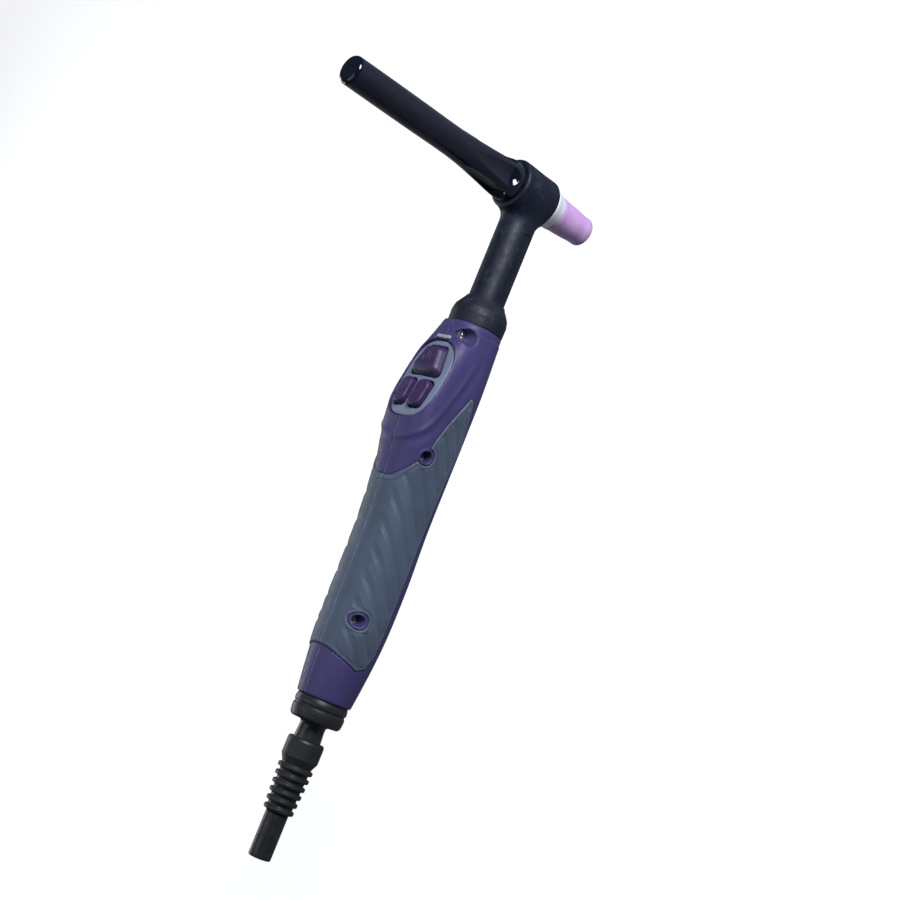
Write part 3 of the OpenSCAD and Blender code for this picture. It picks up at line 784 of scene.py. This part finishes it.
GRIP_FRONT, GRIP_REAR = 28, 176
GRIP_BORDER = [                 # lower border of the grip, from front to rear: distance from mouth, height
    (34, -1.2), (38, -2.6), (46, -4.4), (56, -6.4), (64, -6), (162, -6),
]
GRIP_OUTLINE = np.array([
    (33.4, 0.2), (44, 5.1), (51, 8.1), (58, 10.2), (64, 11.4), (70, 13.6), (74, 15.6), (78.5, 17.7),
    (82, 18.7), (85, 21), (90, 30), (150, 30), (160, 24), (168, 12), (172, 2), (170, -3),
    *reversed(GRIP_BORDER),
])


def outline_field(a, b, corners):
    """Distance to a closed outline of any shape, negative inside."""
    far = np.full(np.shape(a), np.inf)
    inside = np.zeros(np.shape(a), bool)
    for start, end in zip(corners, np.roll(corners, -1, axis=0)):
        far = np.minimum(far, segment_distance(a, b, start, end))
        if end[1] != start[1]:
            slope = (end[0] - start[0]) / (end[1] - start[1])
            inside ^= ((start[1] > b) != (end[1] > b)) & (a < start[0] + (b - start[1]) * slope)
    return np.where(inside, -far, far)


MAP_STEP = 0.25                 # the grip's outline is looked up in a map of distances to it
MAP_S, MAP_Z = np.arange(20, 182, MAP_STEP), np.arange(-24, 36, MAP_STEP)
GRIP_MAP = outline_field(*np.meshgrid(MAP_S, MAP_Z, indexing="ij"), GRIP_OUTLINE)


def screw_rod(p, screw, radius):
    """Endless rod on the axis of a screw."""
    return rod_field(p, (MOUTH_X - screw[0], 0, AXIS_Z + screw[1]), 1, radius)


def grip_zone(p):
    """Negative where the rubber grip covers the side of the handle."""
    s = np.clip(MOUTH_X - p[:, 0], MAP_S[0], MAP_S[-2])
    z = np.clip(p[:, 2] - AXIS_Z, MAP_Z[0], MAP_Z[-2])
    i, j = (s - MAP_S[0]) / MAP_STEP, (z - MAP_Z[0]) / MAP_STEP
    u, v = i.astype(int), j.astype(int)
    i, j = i - u, j - v
    zone = ((GRIP_MAP[u, v] * (1 - i) + GRIP_MAP[u + 1, v] * i) * (1 - j)
            + (GRIP_MAP[u, v + 1] * (1 - i) + GRIP_MAP[u + 1, v + 1] * i) * j)
    for screw in SCREWS[1:]:
        zone = soft_max(zone, -screw_rod(p, screw, RING_BOSS_R), 0.5)
    return zone


def ring_boss_detail(p):
    """Raised ring round the middle screw."""
    s, z, _ = SCREWS[1]
    d = np.hypot(MOUTH_X - p[:, 0] - s, p[:, 2] - AXIS_Z - z)
    return bump(d - 3.4, 0.5) * 0.4 * (p[:, 1] < 8)


def mouth_detail(p):
    """Narrower first few millimetres, with a step to the full section."""
    s = MOUTH_X - p[:, 0]
    below = ramp(-(p[:, 2] - AXIS_Z), -3, 4)
    return -0.4 * (1 - ramp(s, 3.0, 3.8)) * below - bump(s - 3.4, 0.35) * 0.2


def skin_field(p):
    """Outer skin of the handle with its raised and sunken detail."""
    detail = ridge_detail(p) + panel_rim_detail(p) + ring_boss_detail(p) + mouth_detail(p)
    return handle_field(p) - detail


def head_recesses(body, p):
    """Takes the recesses of the screw heads out of the skin. The front one widens outwards."""
    for screw, widening, edge in zip(SCREWS, (0.2, 0, 0), (0.9, 0.45, 0.45)):
        seat = screw[2]
        radius = SCREW_HEAD_R + widening * np.maximum(0, seat - 1.5 - p[:, 1])
        body = soft_max(body, -np.maximum(screw_rod(p, screw, radius), p[:, 1] - seat), edge)
    return body


def screw_cut(p):
    """Screw holes with their nut pockets. They are blind: they stop under the skin."""
    cut = np.full(len(p), np.inf)
    for screw in SCREWS:
        for radius, reach in ((SHANK_R, SHANK_Y), (NUT_R, NUT_Y)):
            cut = np.minimum(cut, np.maximum(screw_rod(p, screw, radius), between(p[:, 1], *reach)))
    return np.maximum(cut, handle_field(p, SCREW_COVER))


def inner_space(p):
    """Hollow of the handle, with the bosses left standing in it and the seats of neck and swivel collar."""
    back = MOUTH_X - p[:, 0]
    hollow = np.maximum(handle_field(p, WALL), between(back, 6, HANDLE_LEN - 8))
    for screw, radius in zip(SCREWS, BOSS_R):
        hollow = np.maximum(hollow, -screw_rod(p, screw, radius))
    neck = np.maximum(neck_rod(p, NECK_R + FIT), back - 12)
    tail = np.maximum(neck_rod(p, COLLAR_R), HANDLE_LEN - 12 - back)
    clip = np.maximum(neck_rod(p, CLIP_R), between(back, HANDLE_LEN - 5, HANDLE_LEN - 2))
    return np.minimum(np.minimum(hollow, neck), np.minimum(tail, clip))


def shell_field(p, side):
    """One half of the shell: side is -1 for the near half and 1 for the far half."""
    a, b, h = to_panel(p).T
    back = MOUTH_X - p[:, 0]
    body = head_recesses(skin_field(p), p)
    body = soft_max(body, TRIM - back, 0.7)
    body = soft_max(body, back - HANDLE_LEN + TRIM, 1.2)
    body = np.maximum(body, -inner_space(p))
    body = soft_max(body, -np.maximum(egg_field(a, b, 0.3), -6 - h), 0.5)
    slot = np.maximum(between(a, *TAB_SLOT), np.abs(b) - TAB_HALF[1] - 0.4)
    body = soft_max(body, -np.maximum(slot, TAB_PLACE[2] - TAB_HALF[2] - 0.05 - h), 0.4)
    body = np.maximum(body, -screw_cut(p))
    seat = np.maximum(grip_zone(p), -handle_field(p, GRIP_DEPTH))
    body = soft_max(body, -seat, 0.45)
    return soft_max(body, FIT - side * p[:, 1], 0.12)


STRIP_PITCH = 6.9
STRIP_SLOPE = math.radians(35)
STRIP_START = 0.6


def strip_detail(p, zone):
    """Slanting raised strips with channels between them, a raised rim and a plain band along the border."""
    s = MOUTH_X - p[:, 0]
    z = p[:, 2] - AXIS_Z
    t = s * math.sin(STRIP_SLOPE) + z * math.cos(STRIP_SLOPE) + STRIP_START
    off = np.abs((t + STRIP_PITCH / 2) % STRIP_PITCH - STRIP_PITCH / 2)
    above = z - np.interp(s, *zip(*GRIP_BORDER))
    sideways = np.abs(p[:, 1]) / np.interp(s, STATIONS, WIDTH)
    within = ramp(-zone, 1.5, 2.1) * ramp(above, 2.6, 3.4) * ramp(sideways, 0.5, 0.66)
    strip = 1 - ramp(off, 1.7, 2.3)
    groove = bump(off - STRIP_PITCH / 2, 0.5)
    rim = bump(zone + 0.6, 0.5) * 0.3
    band = bump(above - 2.3, 0.35) * 0.25 * ramp(-zone, 1.0, 2.0)
    return rim + (strip * 0.32 - groove * 0.3) * within - band


def grip_field(p, side):
    """Rubber grip in its seat on one half of the shell."""
    zone = grip_zone(p)
    body = handle_field(p, -GRIP_PROUD) - strip_detail(p, zone)
    body = soft_max(body, zone + 0.1, 0.7)
    body = np.maximum(body, -handle_field(p, GRIP_DEPTH - 0.05))
    return soft_max(body, FIT - side * p[:, 1], 0.12)


def make_handle():
    reach = high("shell_far")[1] + 1
    z0, z1 = low("shell_near")[2] - 1, high("shell_near")[2] + 1
    kinds = (
        ("shell", "_moulding", shell_field, SOCKET_X, MOUTH_X, 0.55, "shell_plastic"),
        ("grip", "_overmould", grip_field, MOUTH_X - GRIP_REAR, MOUTH_X - GRIP_FRONT, 0.5, "grip_rubber"),
    )
    for side, half in ((-1, "_near"), (1, "_far")):
        y0, y1 = min(0, side * reach), max(0, side * reach)
        for kind, ending, field, x0, x1, cell, slot in kinds:
            node = kind + half
            obj = moulded(node + ending, lambda p: field(p, side), (x0, y0, z0), (x1, y1, z1), cell)
            dress(crisp(obj, 55), "torch", kind, node)


# ---------------------------------------------------------------- switch panel

# Places in the panel's own plane: towards the head, across. Heights are above its rim.
MAIN_CORNERS = ((17.8, -6.4), (17.8, 6.4), (1.3, 11.2), (1.3, -11.2))
SMALL_CORNERS = ((-0.9, 1.6), (-0.9, 10.6), (-15.7, 9.4), (-15.9, 1.6))
CORNER_R = 2.7
MAIN_STEM, SMALL_STEM = (9.5, 0.0), (-8.4, 5.8)
STEM_R = 1.8
POSTS = ((15.4, 9.9), (15.4, -9.9), (-18.6, 5), (-18.6, -5))
POST_R = 1.3
PLATE = 2.0                             # thickness of the bezel's face
FLANGE_FOOT, FLANGE_TOP = -3.2, -2.2    # flange that keeps a button in the panel
BOARD_TOP = -8.4
SWITCH_H = 3.6


def grown(corners, d):
    """Outline with each corner moved outwards by d both ways."""
    c = np.asarray(corners, float)
    middle = (c.max(0) + c.min(0)) / 2
    return c + d * np.sign(c - middle)


def bezel_field(p):
    """Crowned plate with openings for the buttons, on four posts that carry the board."""
    q = to_panel(p)
    a, b, h = q.T
    rim = 1.3
    body = soft_max(egg_field(a, b), crown_field(q, 0), rim)
    body = np.maximum(body, -5 - h)
    inner = np.maximum(egg_field(a, b, -rim), crown_field(q, -PLATE))
    body = soft_max(body, -inner, 0.3)
    for corners, flip in ((MAIN_CORNERS, 1), (SMALL_CORNERS, 1), (SMALL_CORNERS, -1)):
        hole = polygon_field(a, flip * b, grown(corners, 0.25), CORNER_R)
        body = soft_max(body, -np.maximum(hole, -4.5 - h), 0.55)
    posts = np.full(len(p), np.inf)
    for x, y in POSTS:
        posts = np.minimum(posts, np.hypot(a - x, b - y) - POST_R)
    return np.minimum(body, np.maximum(posts, between(h, BOARD_TOP + TRIM, -2.6)))


MARK = 0.28             # half the width of the lines cut into the buttons


def mark_ring(a, b):
    """Open ring with a short bar, for the main button."""
    ring = np.abs(np.hypot(a, b) - 2.5) - MARK
    gap = np.maximum(np.abs(b) - 0.9, -a)
    bar = np.maximum(np.abs(b) - MARK, between(a, 0.6, 3.6))
    return np.minimum(np.maximum(ring, -gap), bar)


def mark_forward(a, b):
    """Arrow head that points towards the torch head, for a small button."""
    d = np.abs(a + np.abs(b) * 0.9 - 0.9) / math.hypot(1, 0.9) - MARK
    return np.maximum(d, np.abs(b) - 1.7)


def mark_backward(a, b):
    return mark_forward(-a, b)


def button_field(p, corners, lift, stem, travel, flip, mark, draft, edge):
    """Button with drafted sides, a dished and marked top, a flange under the panel and a stem to its switch.

    lift is the height of its top above the panel's, flip is -1 for the near button, which is the far one
    mirrored, and edge is how softly the top turns into the sides.
    """
    q = to_panel(p)
    a, b, h = q[:, 0], flip * q[:, 1], q[:, 2]
    rounder = polygon_field(a, b, corners, 4.2) + draft * np.maximum(0, h - 0.5)
    sides = soft_max(polygon_field(a, b, corners, CORNER_R), rounder, 0.5)
    centre = np.mean(corners, axis=0)
    dish = 0.35 * bump(np.hypot(a - centre[0], b - centre[1]), 5.5)
    body = soft_max(sides, crown_field(q, lift) + dish, edge)
    cut = np.maximum(mark(a - centre[0], b - centre[1]), np.maximum(-body - 0.3, 1 - h))
    body = soft_max(body, -cut, 0.12)
    inside_flange = (FLANGE_FOOT + FLANGE_TOP) / 2
    body = np.maximum(body, inside_flange - h)
    flange = np.maximum(polygon_field(a, b, grown(corners, 0.9), 3.0), between(h, FLANGE_FOOT, FLANGE_TOP))
    foot = BOARD_TOP + SWITCH_H + travel + 0.05
    rod = np.maximum(np.hypot(a - stem[0], b - stem[1]) - STEM_R, between(h, foot, inside_flange))
    return np.minimum(np.minimum(body, flange), rod)


def node_box(node):
    return low(node) - 0.8, high(node) + 0.8


def tab_field(p):
    """Small bar with rounded edges in its slot in front of the panel."""
    edge = 0.4
    d = np.abs(to_panel(p) - TAB_PLACE) - (np.array(TAB_HALF) - edge)
    return np.linalg.norm(np.maximum(d, 0), axis=1) + np.minimum(d.max(1), 0) - edge


def make_panel():
    obj = moulded("switch_bezel_moulding", bezel_field, *node_box("switch_bezel"), 0.4)
    dress(obj, "torch", "bezel", "switch_bezel")
    buttons = (         # node, body, then what button_field takes
        ("main_button", "main_switch", MAIN_CORNERS, 3.6, MAIN_STEM, 1.2, 1, mark_ring, 0.55, 2.2),
        ("near_button", "near_switch", SMALL_CORNERS, 2.8, SMALL_STEM, 1.0, -1, mark_forward, 0.12, 1.3),
        ("far_button", "far_switch", SMALL_CORNERS, 2.8, SMALL_STEM, 1.0, 1, mark_backward, 0.12, 1.3),
    )
    for node, body, *rest in buttons:
        obj = moulded(node + "_cap", lambda p: button_field(p, *rest), *node_box(node), 0.3)
        dress(obj, body, "button", node)
    obj = moulded("release_tab_moulding", tab_field, *node_box("release_tab"), 0.2)
    dress(obj, "release", "tab", "release_tab")


# ---------------------------------------------------------------- tail

BALL_R = 9.0
CABLE_BORE = 4.63                       # hole for the cable in the ball and in the strain relief
SLEEVE_R = 6.6                          # tail of the ball, which the strain relief grips


def ball_arc(radius, start, end, count):
    """Arc round the ball's centre. Its angles are measured from the widest circle."""
    return [(radius * math.cos(t), BALL_X + radius * math.sin(t), 0) for t in np.linspace(start, end, count)]


def make_swivel():
    b, s = BALL_X, SOCKET_X
    neck, clip = 9.55, CLIP_R - 0.05
    corners = [
        (8.75, b - 2.6, 0.2), (10.6, b - 5.2, 0.5), (11.4, b - 5.2, 0.5), (12.5, b - 4.2, 1.5),
        (12.9, b - 1.4, 2), (12.9, b + 0.6, 0.3), (12.4, b + 1.1, 0.3), (12.4, b + 1.9, 0.3),
        (12.9, b + 2.4, 0.3), (12.9, b + 4, 1), (12.4, s - 0.05, 0.3), (neck, s - 0.05, 0),
        (neck, s + 2.05, 0), (clip, s + 2.05, 0.2), (clip, s + 4.95, 0.4), (neck, s + 4.95, 0),
        (neck, s + 7.6, 0.3), (6.2, s + 7.6, 0.3), *ball_arc(BALL_R + 0.05, 0.815, -0.27, 9),
    ]
    obj = crisp(lathe("swivel_collar_ring", corners, True, 128, 1.2), 38)
    dress(obj, "swivel", "swivel", "swivel_collar")


def make_knuckle():
    b = BALL_X
    corners = [
        (CABLE_BORE, b + 7.72, 0.2), *ball_arc(BALL_R, 1.03, -0.8, 26), (6.25, b - 8.4, 1.0),
        (SLEEVE_R, b - 13, 2), (SLEEVE_R, b - 24, 0.3), (CABLE_BORE, b - 24, 0),
    ]
    obj = lathe("ball_knuckle", corners, True, 128, 1.2)
    dress(obj, "cable", "knuckle", "cable_knuckle")


def make_relief():
    x, tail, grip = RELIEF_X, RELIEF_TAIL + 0.3, SLEEVE_R + FIT
    ribs = []
    for i in range(6):
        top, foot, at = 8.6 - 0.24 * i, 7.1 - 0.2 * i, x - 13 - 4 * i
        ribs += [
            (foot, at, 0.4), (top, at - 0.3, 0.6), (top - 0.05, at - 2.1, 0.6), (foot - 0.1, at - 2.4, 0.4),
        ]
    corners = [
        (grip, x, 0.2), (8.5, x, 0.6), (9.0, x - 1.2, 0.8), (9.0, x - 9, 1.0), (8.0, x - 11, 1.2), *ribs,
        (5.9, tail, 0.4), (CABLE_BORE, tail, 0), (CABLE_BORE, x - 10.05, 0), (grip, x - 10.05, 0),
    ]
    obj = lathe("strain_relief_sleeve", corners, True, 112, 1.0)
    dress(obj, "cable", "relief", "strain_relief")


def make_cable():
    cut, tail, inside = CABLE_TAIL, RELIEF_TAIL, CABLE_BORE - FIT
    corners = [
        (0, cut + 5, 0), (2.9, cut + 5, 0.3), (3.0, cut, 0.3), (5.5, cut, 0.7), (5.5, tail, 0.3),
        (inside, tail + 0.1, 0), (inside, BALL_X + 2, 0.4), (0, BALL_X + 2, 0),
    ]
    obj = lathe("power_cable_sheath", corners, True, 96, 2.0)
    dress(obj, "cable", "cable", "power_cable")


# ---------------------------------------------------------------- CAD nodes that keep their own shape

def dress_cad_nodes():
    finishes = {
        "head_core": "brass", "collet_body": "brass", "collet": "copper", "electrode": "tungsten",
        "cap_o_ring": "seal", "switch_board": "board", "tact_switches": "swivel", "switch_lead": "cable",
        "handle_screws": "steel", "handle_nuts": "brass", "cable_union": "brass", "inner_cable": "cable",
    }
    for node, finish in finishes.items():
        obj = frame["nodes"][node]
        if not obj.material_slots:
            obj.data.materials.append(PAINT[finish])
        for slot in obj.material_slots:
            slot.link = "OBJECT"
            slot.material = PAINT[finish]


# ---------------------------------------------------------------- stage

def add_area(name, place, size, power, colour):
    """Soft box that shines on the middle of the torch."""
    light = bpy.data.lights.new(name, "AREA")
    light.shape = "RECTANGLE"
    light.size, light.size_y = size
    light.energy = power
    light.color = colour
    obj = bpy.data.objects.new(name, light)
    obj.location = place
    obj.rotation_mode = "QUATERNION"
    obj.rotation_quaternion = (Vector((-0.12, 0, 0.05)) - Vector(place)).to_track_quat("-Z", "Y")
    bpy.context.scene.collection.objects.link(obj)


def brighter_to_camera(tree, seen, felt):
    """One strength for what the camera sees and another for the light that falls on the torch."""
    path = tree.nodes.new("ShaderNodeLightPath")
    mix = tree.nodes.new("ShaderNodeMapRange")
    set_inputs(mix, {"To Min": felt, "To Max": seen})
    tree.links.new(path.outputs["Is Camera Ray"], mix.inputs["Value"])
    return mix.outputs[0]


def make_stage():
    half, level = 6000, -160
    corners = [(x * half, y * half, level) for x, y in ((-1, -1), (1, -1), (1, 1), (-1, 1))]
    floor = add_object("floor", corners, [(0, 1, 2, 3)], False)
    m = Nodes("pale_floor", 0.9)
    tint = m.mix(m.noise(400, 2), (0.88, 0.885, 0.9), (0.92, 0.92, 0.93))
    m.colour(m.mix(brighter_to_camera(m.tree, 0.75, 0.85), tint, (0.1, 0.11, 0.13)))
    m.link(tint, m.bsdf.inputs["Emission Color"])
    m.link(brighter_to_camera(m.tree, 0.92, 0.0), m.bsdf.inputs["Emission Strength"])
    floor.data.materials.append(m.done())
    world = bpy.data.worlds.new("studio")
    world.use_nodes = True
    background = world.node_tree.nodes["Background"]
    background.inputs[0].default_value = (0.9, 0.94, 1.0, 1)
    world.node_tree.links.new(brighter_to_camera(world.node_tree, 0.95, 0.075), background.inputs[1])
    bpy.context.scene.world = world
    add_area("key", (0.5, -0.65, 0.6), (0.45, 0.4), 13.5, (0.93, 0.96, 1.0))
    add_area("fill", (-0.35, 0.2, 1.0), (0.8, 0.6), 1.6, (0.88, 0.93, 1.0))
    add_area("rim", (-0.3, 1.0, 0.22), (0.9, 0.25), 3.5, (0.9, 0.94, 1.0))
    bpy.context.scene.view_settings.view_transform = "Standard"


def make_camera():
    """Camera where the torch was seen from: high on its near side, rolled so that the handle hangs down."""
    place = Vector((-229.3, -626.7, AXIS_Z + 526.0)) * MM
    target = Vector((-131.0, -12.0, AXIS_Z - 4)) * MM
    up_hint = Vector((0.914, 0.131, 0.384))
    out = (place - target).normalized()
    right = up_hint.cross(out).normalized()
    up = out.cross(right)
    camera = bpy.data.cameras.new("camera")
    camera.lens = 69
    camera.clip_start, camera.clip_end = 0.01, 50
    obj = bpy.data.objects.new("camera", camera)
    obj.matrix_world = Matrix.Translation(place) @ Matrix((right, up, out)).transposed().to_4x4()
    bpy.context.scene.collection.objects.link(obj)
    bpy.context.scene.camera = obj


make_head()
make_boot()
make_front_end()
make_cap()
make_handle()
make_panel()
make_swivel()
make_knuckle()
make_relief()
make_cable()
dress_cad_nodes()
make_stage()
make_camera()
